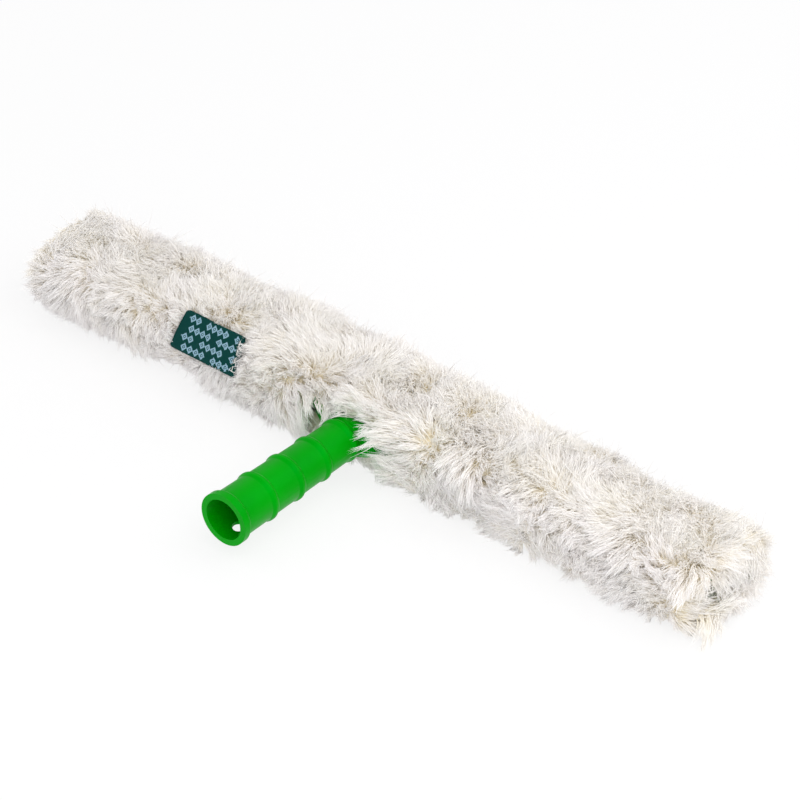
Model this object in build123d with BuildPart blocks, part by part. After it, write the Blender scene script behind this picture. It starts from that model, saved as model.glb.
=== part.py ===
from build123d import *

# A window scrubber: a plastic T-bar in a plush washing sleeve.
#
# The head bar is a moulded ladder with a flared yoke. A tubular grip is pushed on the yoke's spigot,
# and one screw, deep in the grip's bore, holds it. The sleeve is a plush tube. Its left half is closed.
# The right half is open at the back and at its end, and a flap folds down over the open back and holds
# with hook and loop tape. With the flap lifted, the sleeve slides off the bar to the left.
#
# Millimetres. The origin is the centre of the grip's mouth, where an extension pole goes in. +Y runs
# along the grip to the bar, +X along the bar, and +Z is up as the scrubber lies on a table.

import os
from math import asin, cos, pi, radians, sin, tan

# ---- grip: a tapering tube with a rounded rim and four raised rings ----
RIM_RADIUS = 15.6
RIM_LENGTH = 4.4  # along the grip, before the rim falls to the tube
RIM_SLOPE = 1.7
RIM_ROUND = 2.8
MOUTH_ROUND = 0.5
TUBE_RADIUS = 14.0
TUBE_STEP = 0.6  # each section of tube starts this much smaller than the one before
SECTION_TAPER = 0.3  # and narrows by this much to its end
RING_COUNT = 4
RING_FIRST_Y = 26.9
RING_PITCH = 22.1
RING_HEIGHT = 1.0  # above the tube in front of it
RING_CREST = 1.6  # width across its top
RING_FOOT = 5.2  # width across its foot
RING_ROUND = 1.1
TAIL_LENGTH = 4.6  # tube behind the last ring's crest

BORE_RADIUS = 12.0
BORE_LENGTH = 22.0
THROAT_RADIUS = 9.9  # where the bore ends at the septum
SEPTUM_Y = 74.0
SEPTUM_THICKNESS = 4.0
LOCK_HOLE_RADIUS = 4.25
LOCK_HOLE_Y = 12.8

# ---- spigot, screw and washer that hold the grip ----
SPIGOT_RADIUS = 9.0
SPIGOT_CLEARANCE = 0.1
SPIGOT_TIP_GAP = 0.3
SCREW_RADIUS = 2.4
SCREW_REACH = 20.0  # into the spigot
SCREW_HEAD_RADIUS = 4.6
SCREW_HEAD_HEIGHT = 3.2
SCREW_HEAD_ROUND = 1.4
SCREW_CLEARANCE = 0.3
PILOT_CLEARANCE = 0.05
PILOT_TIP_GAP = 1.5
RECESS_LENGTH = 5.0
RECESS_WIDTH = 1.3
RECESS_DEPTH = 1.7
WASHER_RADIUS = 6.6
WASHER_THICKNESS = 1.0

# ---- head bar and its yoke ----
BAR_Y = 133.0  # centre line of the bar
BAR_LENGTH = 450.0
BAR_WIDTH = 42.0
BAR_THICKNESS = 15.0
BAR_END_RADIUS = 17.0
BAR_EDGE_RADIUS = 5.4
RAIL_WIDTH = 6.5
RIB_WIDTH = 2.2
WEB_THICKNESS = 2.4
BAY_COUNT = 12
BAY_CORNER = 2.0
SLOT_END_GAP = 6.5  # web left beside each drain slot
SLOT_SIDE_GAP = 7.0
YOKE_NECK_WIDTH = 25.4
YOKE_COLLAR_WIDTH = 37.0
YOKE_COLLAR_HEIGHT = 22.0
YOKE_COLLAR_LENGTH = 3.2
YOKE_FOOT_WIDTH = 60.0  # where it has thinned to the bar's thickness
YOKE_ROOT_WIDTH = 66.0  # in the bar
YOKE_ROOT_DEPTH = 2.0
YOKE_CLOTH_GAP = 0.5  # between the thinning yoke and the cloth's edge

# ---- sleeve: woven backing and the pile that grows from it ----
FIT = 0.4  # between the bar and the cloth
CLOTH = 1.2
SLEEVE_OVERHANG = 4.0  # of the cloth past each end of the bar
PILE_WIDTH = 70.0
PILE_HEIGHT = 49.0
PILE_ROUND = 19.5
PILE_GAP = 0.1  # between cloth and pile
SWELL_HEIGHT = 2.0  # the pile above the bar stands full at the middle and thins towards both ends
SWELL_LENGTH = 400.0
SWELL_X = -20.0
RIDGE_HEIGHT = 1.6  # slanting ridges, where tufts lean on each other
RIDGE_PITCH = 72.0
RIDGE_X = -28.0
RIDGE_SLANT = 0.8  # of a ridge along the bar, for each millimetre of its way round the pile
TUFT_HEIGHT = 1.5  # single tufts, with partings between them
TUFT_PITCH = 34.0
RELIEF_FADE = 20.0  # from each end of the sleeve
END_PILE_LENGTH = 8.0  # pile past the cloth at both ends
END_PILE_ROUND = 6.0
NECK_SIDE_GAP = 3.0  # opening left and right of the yoke
NECK_GAP = 1.3  # pile above and below the yoke, at the bar
NECK_FLARE = 4.5  # by how much that gap opens towards the grip
MOUTH_BINDING = 1.6

# ---- flap over the open right half, and the placket it holds to ----
FLAP_GAP = 2.2  # between placket and flap, for the two tapes
FLAP_DROP = 27.1  # from the fold to the cloth's lower edge
FLAP_BINDING = 1.4
FOLD_GAP = 0.3
FLAP_SIDE_GAP = 1.0
FLAP_SWING = 120.0
LIFT_CLEARANCE = 6.0  # degrees between the lifted flap and the pile above it
FLAP_PILE_START = 10.8  # bare cloth below the fold
FLAP_PILE_GAP = 0.4
PLACKET_DROP = 12.2
PLACKET_INSET = 0.4  # its front face, in front of the bar's back edge
TAPE_HEIGHT = 8.0
LOOP_TAPE = 1.0
HOOK_TAPE = 0.9
TAPE_DROP = 2.7  # of the tapes below the cloth's underside
TAPE_INSET = 4.0

# ---- thread and label ----
STITCH_PITCH = 5.0
STITCH_LENGTH = 3.2
THREAD = 0.5
SEAM_INSET = 2.0
LABEL_X = -102.0
LABEL_OUT = 30.0  # of its middle from the bar's centre line, towards the grip
LABEL_Z = 13.0
LABEL_LENGTH = 43.0
LABEL_HEIGHT = 23.7
LABEL_THICKNESS = 1.0
LABEL_TILT = 64.0  # from the horizontal
LABEL_CORNER = 1.6
LABEL_GAP = 0.3
LABEL_PRESS = 9.0  # how far out the pile is pressed away over it

# ---- sizes that follow ----
last_ring_y = RING_FIRST_Y + RING_PITCH * (RING_COUNT - 1)
grip_length = last_ring_y + TAIL_LENGTH
pocket_y = SEPTUM_Y + SEPTUM_THICKNESS
spigot_tip_y = pocket_y + SPIGOT_TIP_GAP
washer_y = SEPTUM_Y - WASHER_THICKNESS
tail_diameter = 2 * (TUBE_RADIUS - RING_COUNT * TUBE_STEP)
bar_back_y = BAR_Y - BAR_WIDTH / 2

cloth_inside = BAR_THICKNESS / 2 + FIT  # heights above the bar's mid plane
cloth_outside = cloth_inside + CLOTH
pile_inside = cloth_outside + PILE_GAP
bar_flat = BAR_WIDTH / 2 - BAR_EDGE_RADIUS  # half width of the bar's flat top

placket_front = -BAR_WIDTH / 2 + PLACKET_INSET  # distances from the bar's centre line, minus is back
placket_back = placket_front - CLOTH
flap_front = placket_back - FLAP_GAP
flap_back = flap_front - CLOTH
fold_z = cloth_inside + CLOTH / 2
flap_bottom = fold_z - FLAP_DROP
binding_bottom = flap_bottom - FLAP_BINDING
tape_top = -cloth_inside - TAPE_DROP

sleeve_left = -BAR_LENGTH / 2 - SLEEVE_OVERHANG
sleeve_right = BAR_LENGTH / 2 + SLEEVE_OVERHANG
opening_left = -YOKE_ROOT_WIDTH / 2 - NECK_SIDE_GAP
flap_left = -opening_left
flap_right = sleeve_right - FLAP_SIDE_GAP
pile_left = sleeve_left - CLOTH - END_PILE_LENGTH
pile_right = sleeve_right + MOUTH_BINDING + END_PILE_LENGTH
far_back = -PILE_WIDTH  # beyond the pile

os.makedirs("parts", exist_ok=True)


def finish(part, name):
    part.label = name
    export_step(part, f"parts/{name}.step")


def facing_grip(y):
    """Plane across the grip: its x runs along the bar, its y up, its normal to the mouth."""
    return Plane(origin=(0, y, 0), x_dir=(1, 0, 0), z_dir=(0, -1, 0))


def across_bar(x):
    """Plane across the bar, centred on it: its x runs away from the grip, its y up, its normal to +X."""
    return Plane(origin=(x, BAR_Y, 0), x_dir=(0, 1, 0), z_dir=(1, 0, 0))


def rectangle_between(left, bottom, right, top):
    """Rectangle by its corners, in the open sketch."""
    with Locations(((left + right) / 2, (bottom + top) / 2)):
        Rectangle(right - left, top - bottom)


def bar_section(growth):
    """The bar's outer section, grown by a distance, in the open sketch."""
    RectangleRounded(BAR_WIDTH + 2 * growth, BAR_THICKNESS + 2 * growth, BAR_EDGE_RADIUS + growth)


def strip(x_from, x_to, left, bottom, right, top):
    """Straight strip along the bar, given its section's corners."""
    with BuildPart() as made:
        with BuildSketch(across_bar(x_from)):
            rectangle_between(left, bottom, right, top)
        extrude(amount=x_to - x_from)
    return made.part


def stitches(x_from, x_to, left, bottom, right, top):
    """Row of stitches along the bar, given their section's corners."""
    count = int((x_to - x_from) / STITCH_PITCH)
    with BuildPart() as made:
        with BuildSketch(Plane.XY.offset(bottom)):
            with Locations(((x_from + x_to) / 2, BAR_Y + (left + right) / 2)):
                with GridLocations(STITCH_PITCH, 1, count, 1):
                    Rectangle(STITCH_LENGTH, right - left)
        extrude(amount=top - bottom)
    return made.part


# ---- grip ----
outline = [(BORE_RADIUS, 0), (RIM_RADIUS, 0), (RIM_RADIUS, RIM_LENGTH), (TUBE_RADIUS, RIM_LENGTH + RIM_SLOPE)]
for i in range(RING_COUNT):
    crest_y = RING_FIRST_Y + RING_PITCH * i
    tube_before = TUBE_RADIUS - TUBE_STEP * i - SECTION_TAPER
    crest_radius = tube_before + RING_HEIGHT
    tube_after = TUBE_RADIUS - TUBE_STEP * (i + 1)
    outline += [
        (tube_before, crest_y - RING_FOOT / 2),
        (crest_radius, crest_y - RING_CREST / 2),
        (crest_radius, crest_y + RING_CREST / 2),
        (tube_after, crest_y + RING_FOOT / 2),
    ]
outline += [
    (tail_diameter / 2, grip_length),
    (SPIGOT_RADIUS + SPIGOT_CLEARANCE, grip_length),
    (SPIGOT_RADIUS + SPIGOT_CLEARANCE, pocket_y),
    (SCREW_RADIUS + SCREW_CLEARANCE, pocket_y),
    (SCREW_RADIUS + SCREW_CLEARANCE, SEPTUM_Y),
    (THROAT_RADIUS, SEPTUM_Y),
    (BORE_RADIUS, BORE_LENGTH),
]

with BuildPart() as grip:
    with BuildSketch(Plane.XY) as profile:
        with BuildLine():
            Polyline(*outline, close=True)
        make_face()
        outer = profile.vertices().filter_by_position(Axis.Y, 0.1, grip_length - 0.1)
        outer = outer.filter_by(lambda corner: corner.X > tail_diameter / 2)
        mouth = profile.vertices().filter_by_position(Axis.Y, -0.1, 0.1).sort_by(Axis.X)
        fillet(outer, RING_ROUND)
        fillet(mouth[-1], RIM_ROUND)
        fillet(mouth[0], MOUTH_ROUND)
    revolve(axis=Axis.Y)
    with BuildSketch(Plane.XY.offset(-RIM_RADIUS)):
        with Locations((0, LOCK_HOLE_Y)):
            Circle(LOCK_HOLE_RADIUS)
    extrude(amount=RIM_RADIUS, mode=Mode.SUBTRACT)
finish(grip.part, "grip")

# ---- head bar ----
bay_pitch = (BAR_LENGTH - 2 * RAIL_WIDTH + RIB_WIDTH) / BAY_COUNT
bay_length = bay_pitch - RIB_WIDTH
bay_width = BAR_WIDTH - 2 * RAIL_WIDTH
bay_depth = (BAR_THICKNESS - WEB_THICKNESS) / 2

with BuildPart() as head_bar:
    with BuildSketch(Plane.XY.offset(-BAR_THICKNESS / 2)):
        with Locations((0, BAR_Y)):
            RectangleRounded(BAR_LENGTH, BAR_WIDTH, BAR_END_RADIUS)
    extrude(amount=BAR_THICKNESS)
    fillet(head_bar.edges().group_by(Axis.Z)[0] + head_bar.edges().group_by(Axis.Z)[-1], BAR_EDGE_RADIUS)
    # bays above and below the web, with a drain slot through each web
    with BuildSketch(Plane.XY.offset(BAR_THICKNESS / 2), Plane.XY.offset(-WEB_THICKNESS / 2)):
        with Locations((0, BAR_Y)):
            with GridLocations(bay_pitch, 1, BAY_COUNT, 1):
                RectangleRounded(bay_length, bay_width, BAY_CORNER)
    extrude(amount=-bay_depth, mode=Mode.SUBTRACT)
    with BuildSketch(Plane.XY.offset(-WEB_THICKNESS / 2)):
        with Locations((0, BAR_Y)):
            with GridLocations(bay_pitch, 1, BAY_COUNT, 1):
                RectangleRounded(bay_length - 2 * SLOT_END_GAP, bay_width - 2 * SLOT_SIDE_GAP, BAY_CORNER)
    extrude(amount=WEB_THICKNESS, mode=Mode.SUBTRACT)
    # the yoke: round at the grip, wide at the collar, and as thin as the bar at its foot
    with BuildSketch(facing_grip(grip_length)):
        RectangleRounded(YOKE_NECK_WIDTH, tail_diameter, tail_diameter / 2 - 0.1)
    with BuildSketch(facing_grip(grip_length + YOKE_COLLAR_LENGTH)):
        RectangleRounded(YOKE_COLLAR_WIDTH, YOKE_COLLAR_HEIGHT, YOKE_COLLAR_HEIGHT / 2 - 0.1)
    with BuildSketch(facing_grip(BAR_Y + flap_front - YOKE_CLOTH_GAP)):
        RectangleRounded(YOKE_FOOT_WIDTH, BAR_THICKNESS, BAR_EDGE_RADIUS)
    with BuildSketch(facing_grip(bar_back_y + YOKE_ROOT_DEPTH)):
        RectangleRounded(YOKE_ROOT_WIDTH, BAR_THICKNESS, BAR_EDGE_RADIUS)
    loft(ruled=True)
    with BuildSketch(facing_grip(grip_length)):
        Circle(SPIGOT_RADIUS)
    extrude(amount=grip_length - spigot_tip_y)
    with BuildSketch(facing_grip(spigot_tip_y)):
        Circle(SCREW_RADIUS + PILOT_CLEARANCE)
    extrude(amount=-(SCREW_REACH + PILOT_TIP_GAP), mode=Mode.SUBTRACT)
finish(head_bar.part, "head_bar")

# ---- screw and washer ----
with BuildPart() as grip_screw:
    with BuildSketch(facing_grip(washer_y)):
        Circle(SCREW_HEAD_RADIUS)
    extrude(amount=SCREW_HEAD_HEIGHT)
    fillet(grip_screw.edges().sort_by(Axis.Y)[0], SCREW_HEAD_ROUND)
    with BuildSketch(facing_grip(washer_y - SCREW_HEAD_HEIGHT)):
        Rectangle(RECESS_LENGTH, RECESS_WIDTH)
        Rectangle(RECESS_WIDTH, RECESS_LENGTH)
    extrude(amount=-RECESS_DEPTH, mode=Mode.SUBTRACT)
    with BuildSketch(facing_grip(washer_y)):
        Circle(SCREW_RADIUS)
    extrude(amount=-(spigot_tip_y - washer_y + SCREW_REACH))
finish(grip_screw.part, "grip_screw")

with BuildPart() as screw_washer:
    with BuildSketch(facing_grip(SEPTUM_Y)):
        Circle(WASHER_RADIUS)
        Circle(SCREW_RADIUS + SCREW_CLEARANCE, mode=Mode.SUBTRACT)
    extrude(amount=WASHER_THICKNESS)
finish(screw_washer.part, "screw_washer")


# ---- sleeve backing: a closed tube on the left, open at the back on the right ----
def closed_cloth_section():
    """Section of the tube on the left, in the open sketch."""
    bar_section(FIT + CLOTH)
    RectangleRounded(BAR_WIDTH + 2 * FIT, BAR_THICKNESS + 2 * FIT, BAR_EDGE_RADIUS + FIT, mode=Mode.SUBTRACT)


def open_cloth_section():
    """Section on the right, in the open sketch: the back is cut away and the two sheets run on flat."""
    closed_cloth_section()
    with Locations(((far_back - bar_flat) / 2, 0)):
        Rectangle(-far_back - bar_flat, PILE_HEIGHT, mode=Mode.SUBTRACT)
    rectangle_between(flap_front + FOLD_GAP, cloth_inside, -bar_flat, cloth_outside)
    rectangle_between(placket_front, -cloth_outside, -bar_flat, -cloth_inside)


with BuildPart() as sleeve_backing:
    with BuildSketch(across_bar(sleeve_left)):
        closed_cloth_section()
    extrude(amount=opening_left - sleeve_left)
    with BuildSketch(across_bar(opening_left)):
        open_cloth_section()
    extrude(amount=sleeve_right - opening_left)
finish(sleeve_backing.part, "sleeve_backing")

with BuildPart() as end_panel:
    with BuildSketch(across_bar(sleeve_left)):
        bar_section(FIT + CLOTH)
    extrude(amount=-CLOTH)
finish(end_panel.part, "end_panel")

with BuildPart() as mouth_binding:
    with BuildSketch(across_bar(sleeve_right)):
        open_cloth_section()
    extrude(amount=MOUTH_BINDING)
finish(mouth_binding.part, "mouth_binding")

# ---- placket, flap and their tapes ----
placket_top = -cloth_inside
placket_bottom = placket_top - PLACKET_DROP
placket = strip(flap_left, flap_right, placket_back, placket_bottom, placket_front, placket_top)
finish(placket, "placket")

tape_left = flap_left + TAPE_INSET
tape_right = flap_right - TAPE_INSET
tape_bottom = tape_top - TAPE_HEIGHT
loop_tape = strip(tape_left, tape_right, placket_back - LOOP_TAPE, tape_bottom, placket_back, tape_top)
finish(loop_tape, "loop_tape")

hook_tape = strip(tape_left, tape_right, flap_front, tape_bottom, flap_front + HOOK_TAPE, tape_top)
finish(hook_tape, "hook_tape")

with BuildPart() as flap:
    with BuildSketch(across_bar(flap_left)):
        rectangle_between(flap_back, flap_bottom, flap_front, fold_z)
        with Locations(((flap_back + flap_front) / 2, fold_z)):
            Circle(CLOTH / 2)
    extrude(amount=flap_right - flap_left)
finish(flap.part, "flap")

flap_binding = strip(flap_left, flap_right, flap_back, binding_bottom, flap_front, flap_bottom)
finish(flap_binding, "flap_binding")

# ---- thread: each row lies on the cloth, in a groove that the pile leaves free ----
back_seam_left = -BAR_WIDTH / 2 - FIT - CLOTH
back_seam = (
    sleeve_left + SEAM_INSET,
    opening_left - SEAM_INSET,
    back_seam_left - THREAD,
    -THREAD / 2,
    back_seam_left,
    THREAD / 2,
)
fold_seam = (
    flap_left,
    flap_right,
    placket_front - THREAD,
    cloth_outside,
    placket_front,
    cloth_outside + THREAD,
)
placket_seam = (
    flap_left,
    flap_right,
    placket_front + SEAM_INSET,
    -cloth_outside - THREAD,
    placket_front + SEAM_INSET + THREAD,
    -cloth_outside,
)
tape_seam = (
    tape_left,
    tape_right,
    flap_back - THREAD,
    (tape_top + tape_bottom - THREAD) / 2,
    flap_back,
    (tape_top + tape_bottom + THREAD) / 2,
)
finish(stitches(*back_seam), "back_seam_thread")
finish(stitches(*fold_seam), "fold_seam_thread")
finish(stitches(*placket_seam), "placket_thread")
finish(stitches(*tape_seam), "tape_thread")


def seam_groove(seam):
    """Takes the groove over a row of stitches out of the open part."""
    x_from, x_to, left, bottom, right, top = seam
    with BuildSketch(across_bar(x_from)) as groove:
        rectangle_between(left - PILE_GAP, bottom - PILE_GAP, right + PILE_GAP, top + PILE_GAP)
    extrude(groove.sketch, amount=x_to - x_from, mode=Mode.SUBTRACT)


# ---- label, pressed into the pile ----
label_normal = (0, -sin(radians(LABEL_TILT)), cos(radians(LABEL_TILT)))
label_plane = Plane(origin=(LABEL_X, BAR_Y - LABEL_OUT, LABEL_Z), x_dir=(1, 0, 0), z_dir=label_normal)

with BuildPart() as label:
    with BuildSketch(label_plane):
        RectangleRounded(LABEL_LENGTH, LABEL_HEIGHT, LABEL_CORNER)
    extrude(amount=LABEL_THICKNESS)
finish(label.part, "label")

with BuildPart() as label_thread:
    with BuildSketch(label_plane.offset(LABEL_THICKNESS)):
        with Locations((LABEL_LENGTH / 2 - SEAM_INSET, 0)):
            with GridLocations(1, STITCH_PITCH, 1, int(LABEL_HEIGHT / STITCH_PITCH)):
                Rectangle(THREAD, STITCH_LENGTH)
    extrude(amount=THREAD)
finish(label_thread.part, "label_thread")


def press_label():
    """Takes the label's bed out of the open part."""
    with BuildSketch(label_plane.offset(-LABEL_GAP)) as bed:
        RectangleRounded(LABEL_LENGTH + 2 * LABEL_GAP, LABEL_HEIGHT + 2 * LABEL_GAP, LABEL_CORNER)
    extrude(bed.sketch, amount=LABEL_PRESS, mode=Mode.SUBTRACT)


# ---- pile, in zones about the tube ----
corner_out = PILE_WIDTH / 2 - PILE_ROUND
corner_up = PILE_HEIGHT / 2 - PILE_ROUND
foot_angle = asin((pile_inside - corner_up) / PILE_ROUND)
middle_angle = (foot_angle + pi / 2) / 2
foot_out = corner_out + PILE_ROUND * cos(foot_angle)
station_count = round((pile_right - sleeve_left) / (TUFT_PITCH / 2))
station_gap = (pile_right - sleeve_left) / station_count


def pile_relief(x, around):
    """How far the pile above the bar stands above its mean surface. Around is the way over the pile from
    the middle of its top, and grows to the far side."""
    swell = SWELL_HEIGHT * cos(2 * pi * (x - SWELL_X) / SWELL_LENGTH)
    ridge = RIDGE_HEIGHT * cos(2 * pi * (x - RIDGE_X - RIDGE_SLANT * around) / RIDGE_PITCH)
    tuft = TUFT_HEIGHT * cos(pi * (x - sleeve_left) / station_gap) * cos(2 * pi * around / TUFT_PITCH)
    fade = min(1, (x - sleeve_left) / RELIEF_FADE, (pile_right - x) / RELIEF_FADE)
    return fade * (swell + ridge + tuft)


def top_section(x):
    """Outline of the pile above the bar at a station. Its sides meet the pile's other zones."""
    corners = [(-foot_out, pile_inside)]
    for side, angle in ((-1, middle_angle), (-1, pi / 2), (0, pi / 2), (1, pi / 2), (1, middle_angle)):
        around = side * (corner_out + PILE_ROUND * (pi / 2 - angle))
        reach = PILE_ROUND + pile_relief(x, around)
        corners.append((side * (corner_out + reach * cos(angle)), corner_up + reach * sin(angle)))
    corners.append((foot_out, pile_inside))
    return Wire.make_polygon([across_bar(x).from_local_coords(corner) for corner in corners])


def pile_block(x_from, x_to, left, bottom, right, top):
    """Pile between two stations, within a rectangle of its section, added to the open part."""
    with BuildSketch(across_bar(x_from)) as block:
        RectangleRounded(PILE_WIDTH, PILE_HEIGHT, PILE_ROUND)
        with Locations(((left + right) / 2, (bottom + top) / 2)):
            Rectangle(right - left, top - bottom, mode=Mode.INTERSECT)
    extrude(block.sketch, amount=x_to - x_from)


half_width = PILE_WIDTH / 2
half_height = PILE_HEIGHT / 2
neck_flare_end = -half_width - NECK_FLARE
lift_slope = tan(radians(FLAP_SWING - 90 + LIFT_CLEARANCE))
sheet_edge = flap_front + FOLD_GAP + PILE_GAP
flap_pile_floor = binding_bottom - FLAP_PILE_GAP
cloth_edge = BAR_WIDTH / 2 + FIT + CLOTH + PILE_GAP

with BuildPart() as upper_pile:
    stations = [sleeve_left + station_gap * i for i in range(station_count + 1)]
    add(Solid.make_loft([top_section(x) for x in stations], ruled=True))
    # the yoke's way through, and the way of the lifted flap
    with BuildSketch(across_bar(opening_left)):
        with BuildLine():
            Polyline(
                (placket_front, pile_inside),
                (neck_flare_end, pile_inside),
                (neck_flare_end, pile_inside + NECK_FLARE),
                close=True,
            )
        make_face()
    extrude(amount=flap_left - opening_left, mode=Mode.SUBTRACT)
    with BuildSketch(across_bar(flap_left)):
        with BuildLine():
            Polyline(
                (sheet_edge, 0),
                (far_back, 0),
                (far_back, pile_inside + (sheet_edge - far_back) * lift_slope),
                (sheet_edge, pile_inside),
                close=True,
            )
        make_face()
    extrude(amount=pile_right - flap_left, mode=Mode.SUBTRACT)
    seam_groove(fold_seam)
    press_label()
finish(upper_pile.part, "upper_pile")

with BuildPart() as lower_pile:
    pile_block(sleeve_left, opening_left, -half_width, -half_height, half_width, -pile_inside)
    pile_block(opening_left, pile_right, -half_width, -half_height, half_width, -pile_inside)
    with BuildSketch(across_bar(opening_left)):
        with BuildLine():
            Polyline(
                (placket_front, -pile_inside),
                (neck_flare_end, -pile_inside),
                (neck_flare_end, -pile_inside - NECK_FLARE),
                close=True,
            )
        make_face()
    extrude(amount=flap_left - opening_left, mode=Mode.SUBTRACT)
    with BuildSketch(across_bar(flap_left)):
        rectangle_between(far_back, flap_pile_floor, placket_front + PILE_GAP, 0)
    extrude(amount=pile_right - flap_left, mode=Mode.SUBTRACT)
    seam_groove(placket_seam)
finish(lower_pile.part, "lower_pile")

with BuildPart() as front_pile:
    pile_block(sleeve_left, pile_right, cloth_edge, -pile_inside, half_width, pile_inside)
finish(front_pile.part, "front_pile")

with BuildPart() as back_pile:
    pile_block(sleeve_left, opening_left, -half_width, -pile_inside, -cloth_edge, pile_inside)
    seam_groove(back_seam)
    press_label()
finish(back_pile.part, "back_pile")

with BuildPart() as end_pile:
    pile_block(pile_left, sleeve_left - CLOTH, -half_width, -half_height, half_width, half_height)
    fillet(end_pile.edges().group_by(Axis.X)[0], END_PILE_ROUND)
finish(end_pile.part, "end_pile")

with BuildPart() as flap_pile:
    pile_top = fold_z - FLAP_PILE_START
    pile_block(flap_left, flap_right, -half_width, binding_bottom, flap_back - PILE_GAP, pile_top)
    seam_groove(tape_seam)
finish(flap_pile.part, "flap_pile")
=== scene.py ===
import bmesh
import bpy
import numpy as np
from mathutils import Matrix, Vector
from mathutils.bvhtree import BVHTree


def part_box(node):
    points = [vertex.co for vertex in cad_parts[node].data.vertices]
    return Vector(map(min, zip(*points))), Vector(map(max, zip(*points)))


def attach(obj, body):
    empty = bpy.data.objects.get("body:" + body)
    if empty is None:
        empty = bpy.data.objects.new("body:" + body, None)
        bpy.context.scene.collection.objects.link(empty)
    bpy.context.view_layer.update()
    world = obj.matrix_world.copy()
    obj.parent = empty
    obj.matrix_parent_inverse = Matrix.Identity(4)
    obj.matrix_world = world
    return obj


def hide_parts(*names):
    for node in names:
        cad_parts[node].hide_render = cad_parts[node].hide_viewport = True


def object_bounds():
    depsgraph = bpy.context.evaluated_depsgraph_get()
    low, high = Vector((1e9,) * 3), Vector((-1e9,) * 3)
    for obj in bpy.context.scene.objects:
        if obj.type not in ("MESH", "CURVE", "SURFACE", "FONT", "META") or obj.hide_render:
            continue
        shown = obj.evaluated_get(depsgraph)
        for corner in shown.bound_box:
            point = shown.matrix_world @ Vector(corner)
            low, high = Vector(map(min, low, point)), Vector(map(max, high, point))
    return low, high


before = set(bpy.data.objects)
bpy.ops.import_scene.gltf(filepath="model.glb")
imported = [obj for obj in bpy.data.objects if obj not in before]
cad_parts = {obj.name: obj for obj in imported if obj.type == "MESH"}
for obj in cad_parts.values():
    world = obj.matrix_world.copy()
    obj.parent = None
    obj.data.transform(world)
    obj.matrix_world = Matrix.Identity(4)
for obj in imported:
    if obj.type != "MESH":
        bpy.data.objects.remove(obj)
cad_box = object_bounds()

# ---- The picture -------------------------------------------------------------------------------------
# The scrubber lies on a pale table in a soft white studio, and is looked at from the grip's side, half
# from the right and from above.
VIEW_AZIMUTH = np.radians(40.4)
VIEW_ELEVATION = np.radians(35.6)
VIEW_DISTANCE = 2.5
CAMERA_REACH = 20.0
LENS_MM = 206.0
SENSOR_MM = 36.0
PHOTO_PIXELS = 800.0
PHOTO_MIDDLE = PHOTO_PIXELS / 2
BAR_IN_PHOTO = (387.0, 408.0)  # pixels, where the bar's middle shows
METRES_PER_PIXEL = VIEW_DISTANCE * SENSOR_MM / LENS_MM / PHOTO_PIXELS
BAR_HALF_DEPTH = 0.021
LIGHT_BOUNCES = 20  # white yarn hands light on many times before it lets it go
MOST_BOUNCES = 24

bar_low, bar_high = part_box("head_bar")
bar_middle = Vector((0.0, bar_high.y - BAR_HALF_DEPTH, 0.0))
floor_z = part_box("lower_pile")[0].z

view_right = Vector((np.cos(VIEW_AZIMUTH), np.sin(VIEW_AZIMUTH), 0.0))
view_back = Vector((
    np.sin(VIEW_AZIMUTH) * np.cos(VIEW_ELEVATION),
    -np.cos(VIEW_AZIMUTH) * np.cos(VIEW_ELEVATION),
    np.sin(VIEW_ELEVATION),
))
view_up = view_back.cross(view_right)
aim = (
    bar_middle
    + view_right * (PHOTO_MIDDLE - BAR_IN_PHOTO[0]) * METRES_PER_PIXEL
    + view_up * (BAR_IN_PHOTO[1] - PHOTO_MIDDLE) * METRES_PER_PIXEL
)


def add_to_scene(name, data):
    """A new object of a mesh, a light or a camera, in the scene."""
    made = bpy.data.objects.new(name, data)
    bpy.context.scene.collection.objects.link(made)
    return made


camera_data = bpy.data.cameras.new("camera")
camera_data.lens = LENS_MM
camera_data.sensor_width = SENSOR_MM
camera_data.clip_end = CAMERA_REACH
camera = add_to_scene("camera", camera_data)
camera.location = aim + view_back * VIEW_DISTANCE
camera.rotation_euler = view_back.to_track_quat("Z", "Y").to_euler()
bpy.context.scene.camera = camera
bpy.context.scene.view_settings.view_transform = "Standard"
bpy.context.scene.cycles.diffuse_bounces = LIGHT_BOUNCES
bpy.context.scene.cycles.max_bounces = MOST_BOUNCES


def soft_light(name, azimuth, elevation, distance, size, watts, colour):
    """A square softbox that faces the bar."""
    data = bpy.data.lights.new(name, "AREA")
    data.size = size
    data.energy = watts
    data.color = colour
    light = add_to_scene(name, data)
    turn, lift = np.radians(azimuth), np.radians(elevation)
    outward = Vector((np.sin(turn) * np.cos(lift), -np.cos(turn) * np.cos(lift), np.sin(lift)))
    light.location = bar_middle + outward * distance
    light.rotation_euler = outward.to_track_quat("Z", "Y").to_euler()


WARM_LIGHT = (1.0, 0.99, 0.97)
COOL_LIGHT = (0.98, 0.975, 1.0)
WHITE_LIGHT = (1.0, 1.0, 1.0)
soft_light("key_light", azimuth=80, elevation=56, distance=1.1, size=0.9, watts=3.6, colour=WARM_LIGHT)
soft_light("fill_light", azimuth=28, elevation=38, distance=1.2, size=1.0, watts=3.0, colour=COOL_LIGHT)
soft_light("back_light", azimuth=128, elevation=48, distance=1.2, size=0.9, watts=2.1, colour=WHITE_LIGHT)

STUDIO_COLOUR = (0.985, 0.98, 1.0, 1.0)
STUDIO_STRENGTH = 0.80
studio = bpy.data.worlds.new("studio")
bpy.context.scene.world = studio
studio.use_nodes = True
studio_air = studio.node_tree.nodes["Background"]
studio_air.inputs["Color"].default_value = STUDIO_COLOUR
studio_air.inputs["Strength"].default_value = STUDIO_STRENGTH

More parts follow.
